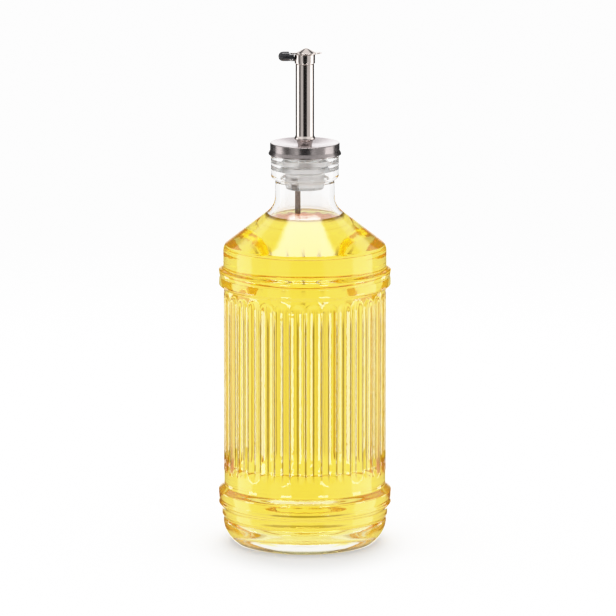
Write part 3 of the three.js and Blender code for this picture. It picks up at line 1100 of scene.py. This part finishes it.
def neck_stopper():
    """Ribbed plug with a flange under the cap and a socket for the tube."""
    seat = STOPPER_HIGH.z - FLANGE_THICK
    flange = STOPPER_HIGH.x
    socket_floor = TUBE_LOW.z - SOCKET_PLAY
    corners = [
        (0, STOPPER_LOW.z, 0),
        (STOPPER_TIP, STOPPER_LOW.z, STOPPER_TIP_EASE),
        (*STOPPER_BODY, RIB_EASE),
        (RIB_ROOT, RIB_FIRST, RIB_EASE),
    ]
    for rib in range(RIB_COUNT):
        foot = RIB_FIRST + rib * RIB_PITCH
        corners.append((RIB_RADIUS, foot + RIB_FLANK, RIB_EASE))
        corners.append((RIB_RADIUS, foot + RIB_FLANK + RIB_CREST, RIB_EASE))
        corners.append((RIB_ROOT, foot + 2 * RIB_FLANK + RIB_CREST, RIB_EASE))
    corners += [
        (RIB_ROOT, seat, FLANGE_EASE),
        (flange, seat, FLANGE_EASE),
        (flange, STOPPER_HIGH.z, FLANGE_EASE),
        (SOCKET_RADIUS, STOPPER_HIGH.z, EASED_EDGE),
        (SOCKET_RADIUS, socket_floor, EASED_EDGE),
        (0, socket_floor, 0),
    ]
    return turned(rounded(corners, closed=False), MILKY_PLASTIC)


def dished_cap():
    """Sheet steel cap: a top dished like a shallow bowl, a rolled rim, a skirt and a flared bead."""
    inside = CAP_RADIUS - CAP_SHEET
    dish_floor = CAP_HIGH.z - CAP_DISH
    underside = dish_floor - CAP_SHEET
    bead = CAP_HIGH.x
    bead_top = CAP_LOW.z + CAP_BEAD_HEIGHT
    corners = [
        (CAP_HOLE, underside, CUT_EDGE),
        (inside, underside, CAP_EASE["inside"]),
        (inside, CAP_FLARE_TOP, SOFT_BEND),
        (bead - CAP_SHEET, CAP_LOW.z, CUT_EDGE),
        (bead, CAP_LOW.z, CAP_EASE["bead"]),
        (bead, bead_top, CAP_EASE["bead"]),
        (CAP_RADIUS, CAP_FLARE_TOP, CAP_EASE["flare"]),
        (CAP_RADIUS, CAP_HIGH.z, CAP_EASE["rim"]),
        (CAP_RIM_INNER, CAP_HIGH.z - CAP_RIM_DROP, CAP_EASE["rim_inside"]),
        (CAP_BOWL_BEND[0], dish_floor + CAP_BOWL_BEND[1], CAP_EASE["bowl"]),
        (CAP_HOLE, dish_floor, CUT_EDGE),
    ]
    return turned(rounded(corners), SPUN_STEEL)


def pouring_tube():
    """Steel tube: a shank in the stopper, a swaged bead, the long barrel and the narrowed tip."""
    bead = TUBE_BEAD
    corners = [
        (SHANK_BORE, TUBE_LOW.z, CUT_EDGE),
        (SHANK_RADIUS, TUBE_LOW.z, EASED_EDGE),
        (SHANK_RADIUS, CAP_HIGH.z - CAP_DISH + SHANK_SHOWN, TUBE_EASE["shank"]),
        (bead["foot"], bead["bottom"], TUBE_EASE["bead_foot"]),
        (bead["crest"], bead["crest_from"], TUBE_EASE["bead"]),
        (bead["crest"], bead["crest_to"], TUBE_EASE["bead"]),
        (TUBE_RADIUS, TUBE_FROM, TUBE_EASE["barrel"]),
        (TUBE_RADIUS, TUBE_TO, EASED_EDGE),
        (SWAGE_RADIUS, TUBE_TO, CUT_EDGE),
        (SWAGE_RADIUS, TUBE_HIGH.z, TUBE_EASE["tip"]),
        (TUBE_BORE, TUBE_HIGH.z, TUBE_EASE["tip"]),
        (TUBE_BORE, TUBE_FROM, SOFT_BEND),
        (SHANK_BORE, bead["bottom"], SOFT_BEND),
    ]
    return turned(rounded(corners), POLISHED_STEEL)


def air_pipe():
    """Thin steel tube from the stopper down to the oil."""
    middle = (AIR_LOW + AIR_HIGH) / 2
    radius = (AIR_HIGH.y - AIR_LOW.y) / 2
    corners = [
        (AIR_BORE, AIR_LOW.z, CUT_EDGE),
        (radius, AIR_LOW.z, EASED_EDGE),
        (radius, AIR_HIGH.z, EASED_EDGE),
        (AIR_BORE, AIR_HIGH.z, CUT_EDGE),
    ]
    return turned(rounded(corners), SHADED_STEEL, SMALL_COLUMNS, Centre=(middle.x * MM, 0.0, 0.0))


def tip_sleeve():
    """Sleeve round the tube's tip with the lug that carries the flap."""
    ring = turned(rounded([
        (SLEEVE_BORE, SLEEVE_LOW.z, CUT_EDGE),
        (SLEEVE_RADIUS, SLEEVE_LOW.z, EASED_EDGE),
        (SLEEVE_RADIUS, SLEEVE_HIGH.z, EASED_EDGE),
        (SLEEVE_BORE, SLEEVE_HIGH.z, CUT_EDGE),
    ]), POLISHED_STEEL)
    root = -(SLEEVE_BORE + SLEEVE_RADIUS) / 2
    side = [(root, PIVOT.z - LUG_RADIUS), (root, PIVOT.z + LUG_RADIUS)]
    side += arc(PIVOT.x, PIVOT.z, LUG_RADIUS, 90, 270)
    lug = slab(side, LUG_THICK, POLISHED_STEEL)
    hole = cross_bar(PIN_HOLE, LUG_THICK + CUT_PAST, POLISHED_STEEL)
    whole = joined(ring, [lug], "UNION")
    return smoothed(joined(whole, [hole], "DIFFERENCE"))


def flap_pin():
    """The flap's pin, with eased ends."""
    radius = (PIN_HIGH.z - PIN_LOW.z) / 2
    return cross_bar(radius, PIN_HIGH.y - PIN_LOW.y, POLISHED_STEEL)


def lid_strip(start, end, width, tip, lean=0.0):
    """A flat strip of the lid's sheet along X that narrows to a rounded tip. Lean is its rise along Y."""
    outward = 1 if end > start else -1
    outline = [(start, -width / 2), (start, width / 2)]
    for step in range(ARC_STEPS + 1):
        angle = math.pi / 2 - math.pi * step / ARC_STEPS
        outline.append((end - outward * tip / 2 * (1 - math.cos(angle)), tip / 2 * math.sin(angle)))
    points = [(x, y, LID_LOW.z + y * lean) for x, y in outline]
    return eased(thickened("strip", points, (0, 0, LID_SHEET), POLISHED_STEEL), STRIP_EASE, rows=2)


def pointed_lid():
    """Lid with a pointed crown, a tab on one side and a strap to the lever on the other."""
    bottom, apex = LID_LOW.z, LID_HIGH.z
    top = bottom + LID_SHEET
    outline = Outline(0, apex - LID_SHEET)
    outline.curve(LID_WAIST, LID_BRIM - LID_SHEET, bottom, rows=12)
    outline.line(LID_BRIM - LID_EDGE_UNDER[0], bottom)
    outline.curve((LID_BRIM, bottom), LID_BRIM, bottom + LID_EDGE_UNDER[1], rows=3)
    outline.line(LID_BRIM, top - LID_EDGE_OVER[0])
    outline.curve((LID_BRIM, top), LID_BRIM - LID_EDGE_OVER[0], top + LID_EDGE_OVER[1], rows=3)
    outer_waist = (LID_WAIST[0] + LID_SHEET, LID_WAIST[1] + LID_SHEET)
    outline.curve(outer_waist, LID_TIP[0], apex - LID_TIP[1], rows=12)
    outline.curve((LID_TIP[0] / 2, apex), 0, apex, rows=5)
    crown = turned(outline, POLISHED_STEEL, Centre=(LID_X * MM, 0.0, 0.0))
    tab = lid_strip(LID_X + TAB_ROOT, LID_HIGH.x, TAB_WIDTH, TAB_TIP, TAB_LEAN)
    strap = lid_strip(LID_X - TAB_ROOT, LID_LOW.x, STRAP_WIDTH, STRAP_WIDTH)
    return smoothed(joined(crown, [tab, strap], "UNION"), LID_SHARP)


def lever_round(left, bottom, top, wide):
    """A plump bar with a domed end along X, which rounds the lever's long edges."""
    radius = wide / 2 * LEVER_PLUMP
    middle = (bottom + top) / 2
    outline = Outline(0, left)
    outline.curve((radius, left), radius, left + radius, rows=14)
    outline.line(radius, 0, rows=2)
    outline.line(0, 0)
    mesh = turned(outline, BLACK_PLASTIC)
    flat = (top - bottom) / wide
    for vertex in mesh.vertices:
        x, y, z = vertex.co
        vertex.co = (z, y, middle * MM - x * flat)
    return mesh


def thumb_lever():
    """Black lever: a rounded thumb end, a step for the strap and a fork round the lug."""
    left, right = LEVER_LOW.x, LEVER_HIGH.x
    bottom, top = LEVER_LOW.z, LEVER_HIGH.z
    wide = LEVER_HIGH.y - LEVER_LOW.y
    end_radius = (top - bottom) / 2
    side = arc(PIVOT.x, PIVOT.z, right - PIVOT.x, -90, 0)
    side += [
        (right, LEVER_STEP_HEIGHT),
        (LEVER_STEP_FROM, LEVER_STEP_HEIGHT),
        (LEVER_STEP_TO, top),
    ]
    side += arc(left + end_radius, bottom + end_radius, end_radius, 90, 270)
    body = slab(side, wide, BLACK_PLASTIC)
    body = joined(body, [lever_round(left, bottom, top, wide)], "INTERSECT")
    fork_right = right + CUT_PAST
    fork = slab([
        (FORK_BACK, bottom - CUT_PAST),
        (fork_right, bottom - CUT_PAST),
        (fork_right, FORK_ROOF),
        (FORK_BACK, FORK_ROOF),
    ], FORK_GAP, BLACK_PLASTIC)
    hole = cross_bar(PIN_HOLE, wide - 2 * LEVER_CHEEK, BLACK_PLASTIC)
    return smoothed(joined(body, [fork, hole], "DIFFERENCE"), LEVER_SHARP)


settle("glass_bottle", bottle_glass(), "bottle_body", "bottle")
settle("oil_filling", oil_filling(), "bottle_body", "oil")
settle("neck_stopper", neck_stopper(), "bottle_body", "stopper")
settle("dished_cap", dished_cap(), "bottle_body", "cap")
settle("pouring_tube", pouring_tube(), "bottle_body", "spout_tube")
settle("air_pipe", air_pipe(), "bottle_body", "air_tube")
settle("tip_sleeve", tip_sleeve(), "bottle_body", "spout_sleeve")
settle("flap_pin", flap_pin(), "bottle_body", "hinge_pin")
settle("pointed_lid", pointed_lid(), "flap", "flap_lid")
settle("thumb_lever", thumb_lever(), "flap", "flap_lever")


# Studio: a white sweep, side softboxes, dark flags, softboxes overhead and low cards

PAPER_WHITE = 1.22
RING_SCALE = 2.0
# Brightness round the bottle as polished metal reflects it: degrees from the viewer's side towards +X
MIRRORED_RING = (
    (-180, 1.6), (-172, 1.6), (-164, 0.07), (-113, 0.06), (-109, 2.0), (-83, 2.0), (-79, 0.20),
    (-52, 0.17), (-48, 0.62), (-22, 0.58), (-18, 0.012), (24, 0.012), (29, 0.60), (69, 0.66),
    (73, 2.0), (108, 2.0), (112, 0.06), (164, 0.07), (172, 1.6), (180, 1.6),
)
MIRRORED_HEIGHTS = (-42.0, -28.0, 17.0, 25.0)
MIRRORED_TABLE = 0.85
MIRRORED_CEILING = 0.08
# A raised band of card round the front and sides, and a small one behind, in reflections alone
FRONT_CARD = {"turn": 145, "low": 20.0, "high": 48.0, "edge": 5.0, "bright": 0.9}
REAR_CARD = {"turn": 20, "low": 16.0, "high": 38.0, "edge": 5.0, "bright": 0.9}
# Brightness round the bottle as it shows through glass
SEEN_RING = ((-180, 1.15), (-75, 1.15), (-60, 1.0), (60, 1.0), (75, 1.15), (180, 1.15))
SEEN_HEIGHTS = (-53.0, -46.0, 25.0, 33.0)
SEEN_TABLE = 0.8
SEEN_CEILING = 0.75
# The lit table top in front of the bottle, which shows through the glass alone
FRONT_TABLE = {"turn": 65, "low": -46.0, "high": -24.0, "edge": 5.0, "bright": 1.0}
FRONT_TABLE_COLOUR = (2.1, 2.7, 3.1, 1.0)
# Brightness that lights what is not clear
LIT = 1.3
# Softboxes overhead, which show in steep directions alone: edges as run to rise, and brightness
LOWEST_RISE = 0.01
SOFTBOX_RISE = (0.5, 0.55)
TOP_SOFTBOX = {"left": -0.44, "right": 0.38, "near": -0.12, "far": 0.22, "edge": 0.06, "bright": 8.0}
REAR_SOFTBOX = {"left": -0.30, "right": 0.30, "near": 0.25, "far": 0.9, "edge": 0.08, "bright": 0.8}


def ring_of_cards(wires, turn, cards):
    """Brightness by direction round the bottle, with soft edges between the cards."""
    share = wires.math("DIVIDE", wires.plus(turn, 180.0), 360.0)
    ramp = wires.node("ShaderNodeValToRGB", {"Fac": share})
    stops = ramp.color_ramp.elements
    while len(stops) < len(cards):
        stops.new(1.0)
    for stop, (degrees, bright) in zip(stops, cards):
        stop.position = (degrees + 180) / 360
        level = bright / RING_SCALE
        stop.color = (level, level, level, 1.0)
    return wires.times(ramp.outputs["Color"], RING_SCALE)


def white_studio():
    """The world: paper white to the eye, and a studio of cards to glass and metal."""
    world = bpy.data.worlds.new("white_studio")
    world.use_nodes = True
    wires = Wiring(world.node_tree)
    world.node_tree.nodes.clear()
    direction = wires.node("ShaderNodeTexCoord").outputs["Generated"]
    x, y, z = wires.split(direction)
    turn = wires.math("DEGREES", wires.math("ARCTAN2", x, wires.times(y, -1.0)))
    turn_behind = wires.math("DEGREES", wires.math("ARCTAN2", x, y))
    height = wires.math("DEGREES", wires.math("ARCSINE", z))
    up = wires.math("MAXIMUM", z, LOWEST_RISE)
    side = wires.math("DIVIDE", x, up)
    depth = wires.math("DIVIDE", y, up)

    def window(value, low, high, out, into):
        """1 from low to high, with soft edges that reach out of it and into it."""
        opened = wires.step(value, low - out, low + into)
        closed = wires.step(value, high + out, high - into)
        return wires.times(opened, closed)

    def softbox(sizes):
        """Brightness of a softbox overhead."""
        edge = sizes["edge"]
        across = window(side, sizes["left"], sizes["right"], edge, edge)
        along = window(depth, sizes["near"], sizes["far"], edge, edge)
        shape = wires.times(wires.times(across, along), wires.step(z, *SOFTBOX_RISE))
        return wires.times(shape, sizes["bright"])

    def studio(cards, heights, table, ceiling):
        """Brightness of a ring of cards between table and ceiling, with the softboxes."""
        below = wires.step(height, heights[0], heights[1], 1.0, 0.0)
        above = wires.step(height, heights[2], heights[3])
        ring = ring_of_cards(wires, turn, cards)
        ring = wires.plus(ring, wires.times(below, wires.minus(table, ring)))
        ring = wires.plus(ring, wires.times(above, wires.minus(ceiling, ring)))
        return wires.plus(ring, overhead)

    def card(sizes, around):
        """Brightness of one card. Around is the direction round the bottle, in degrees from its middle."""
        edge = sizes["edge"]
        across = window(around, -sizes["turn"], sizes["turn"], edge, 0.0)
        along = window(height, sizes["low"], sizes["high"], 0.0, edge)
        return wires.times(wires.times(across, along), sizes["bright"])

    overhead = wires.plus(softbox(TOP_SOFTBOX), softbox(REAR_SOFTBOX))
    mirrored = studio(MIRRORED_RING, MIRRORED_HEIGHTS, MIRRORED_TABLE, MIRRORED_CEILING)
    mirrored = wires.plus(mirrored, card(FRONT_CARD, turn))
    mirrored = wires.plus(mirrored, card(REAR_CARD, turn_behind))
    seen = studio(SEEN_RING, SEEN_HEIGHTS, SEEN_TABLE, SEEN_CEILING)
    seen = wires.blend(card(FRONT_TABLE, turn), seen, FRONT_TABLE_COLOUR)
    path = wires.node("ShaderNodeLightPath").outputs
    bright = wires.blend(path["Is Reflection Ray"], seen, mirrored)
    bright = wires.blend(path["Is Diffuse Ray"], bright, (LIT, LIT, LIT, 1.0))
    bright = wires.blend(path["Is Camera Ray"], bright, (PAPER_WHITE, PAPER_WHITE, PAPER_WHITE, 1.0))
    background = wires.node("ShaderNodeBackground", {"Color": bright, "Strength": 1.0})
    wires.node("ShaderNodeOutputWorld", {"Surface": background.outputs["Background"]})
    bpy.context.scene.world = world


FLOOR_RADIUS = 0.9
FLOOR_FADE_FROM = 0.3
FLOOR_SHADE = 0.5
FLOOR_GLOW = 0.57
# A soft shadow painted on the table round the foot
FOOT_SHADE = 0.69
FOOT_SHADE_FROM = 0.030
FOOT_SHADE_TO = 0.072
FOOT_SHADE_MIDDLE = (0.0, -0.020, 0.0)
FOOT_SHADE_FORM = (1.35, 1.0, 1.0)


def bare_material(name):
    """A new material with its wiring and no nodes."""
    material = bpy.data.materials.new(name)
    material.use_nodes = True
    material.node_tree.nodes.clear()
    return material, Wiring(material.node_tree)


def white_table():
    """A pale table top that fades into the white sweep, with a shadow painted round the foot."""
    work = bmesh.new()
    bmesh.ops.create_circle(work, cap_ends=True, segments=TABLE_SIDES, radius=FLOOR_RADIUS)
    mesh = filled("white_table", work)
    table = linked("white_table", mesh)
    table.visible_glossy = False
    table.visible_transmission = False
    material, wires = bare_material("white_paper")
    coordinates = wires.node("ShaderNodeTexCoord").outputs["Object"]
    away = wires.vector_math("LENGTH", coordinates)
    fade = wires.step(away, FLOOR_FADE_FROM, FLOOR_RADIUS)
    # Painted shadow round the foot
    aside = wires.vector_math("SUBTRACT", coordinates, FOOT_SHADE_MIDDLE)
    aside = wires.vector_math("LENGTH", wires.vector_math("MULTIPLY", aside, FOOT_SHADE_FORM))
    shade = wires.step(aside, FOOT_SHADE_FROM, FOOT_SHADE_TO, FOOT_SHADE, 1.0)
    paper = wires.node("ShaderNodeBsdfDiffuse", {"Color": wires.times(shade, FLOOR_SHADE)})
    glow = wires.node("ShaderNodeEmission", {"Strength": wires.times(shade, FLOOR_GLOW)})
    lit = wires.node("ShaderNodeAddShader", {0: paper.outputs["BSDF"], 1: glow.outputs["Emission"]})
    clear = wires.node("ShaderNodeBsdfTransparent")
    mixed = wires.node("ShaderNodeMixShader", {
        0: fade,
        1: lit.outputs["Shader"],
        2: clear.outputs["BSDF"],
    })
    wires.node("ShaderNodeOutputMaterial", {"Surface": mixed.outputs["Shader"]})
    mesh.materials.append(material)


CARD_DISTANCE = 1.0
CARD_BOTTOM = -0.165
CARD_TOP = -0.068
CARD_HALF_TURN = 7
# Degrees from the viewer's side, and brightness
LOW_CARDS = ((-130, 3.0), (-78, 7.0), (-26, 9.0), (26, 9.0), (78, 7.0), (130, 3.0))


def low_card(turn, bright):
    """A bright card low beside the bottle, which only shows as a reflection in its flutes."""
    work = bmesh.new()
    columns = []
    for step in range(ARC_STEPS + 1):
        angle = math.radians(turn + CARD_HALF_TURN * (2 * step / ARC_STEPS - 1))
        x = CARD_DISTANCE * math.sin(angle)
        y = -CARD_DISTANCE * math.cos(angle)
        columns.append([work.verts.new((x, y, height)) for height in (CARD_BOTTOM, CARD_TOP)])
    for before, after in zip(columns, columns[1:]):
        work.faces.new((before[0], after[0], after[1], before[1]))
    mesh = filled("low_card", work)
    card = linked("low_card", mesh)
    card.visible_camera = False
    card.visible_diffuse = False
    card.visible_transmission = False
    card.visible_shadow = False
    material, wires = bare_material("lit_card")
    glow = wires.node("ShaderNodeEmission", {"Color": (1.0, 1.0, 1.0, 1.0), "Strength": bright})
    wires.node("ShaderNodeOutputMaterial", {"Surface": glow.outputs["Emission"]})
    mesh.materials.append(material)


CAMERA_AIM = Vector((0.00145, 0.0, 0.110))
CAMERA_ELEVATION = math.radians(10.9)
CAMERA_DISTANCE = 3.25
CAMERA_LENS = 409.5
CAMERA_SENSOR = 36.0
CAMERA_SIGHT = (0.1, 20.0)


def photo_camera():
    """The camera, a long lens a little above the bottle."""
    data = bpy.data.cameras.new("photo_camera")
    data.lens = CAMERA_LENS
    data.sensor_width = CAMERA_SENSOR
    data.clip_start, data.clip_end = CAMERA_SIGHT
    camera = linked("photo_camera", data)
    back = Vector((0.0, -math.cos(CAMERA_ELEVATION), math.sin(CAMERA_ELEVATION)))
    camera.location = CAMERA_AIM + back * CAMERA_DISTANCE
    camera.rotation_euler = (math.pi / 2 - CAMERA_ELEVATION, 0.0, 0.0)
    bpy.context.scene.camera = camera


# How film shows light: linear brightness in, and brightness shown
FILM_TOP = 1.6
FILM_SHOULDER = ((0.35, 0.35), (0.65, 0.65), (0.82, 0.805), (0.95, 0.89), (1.1, 0.95), (1.25, 0.985))
# Bounces of light, and those through the table's faded edge
LIGHT_BOUNCES = 64
FADE_BOUNCES = 16


def render_care():
    """Plain colours with soft highlights, and enough bounces for glass that is filled."""
    scene = bpy.context.scene
    scene.view_settings.view_transform = "Standard"
    scene.view_settings.look = "None"
    scene.view_settings.use_curve_mapping = True
    film = scene.view_settings.curve_mapping
    film.white_level = (FILM_TOP, FILM_TOP, FILM_TOP)
    for light, shown in FILM_SHOULDER:
        film.curves[3].points.new(light / FILM_TOP, shown)
    film.update()
    scene.cycles.use_denoising = True
    scene.cycles.max_bounces = LIGHT_BOUNCES
    scene.cycles.transmission_bounces = LIGHT_BOUNCES
    scene.cycles.glossy_bounces = LIGHT_BOUNCES
    scene.cycles.transparent_max_bounces = FADE_BOUNCES


white_studio()
white_table()
for card_turn, card_bright in LOW_CARDS:
    low_card(card_turn, card_bright)
photo_camera()
render_care()
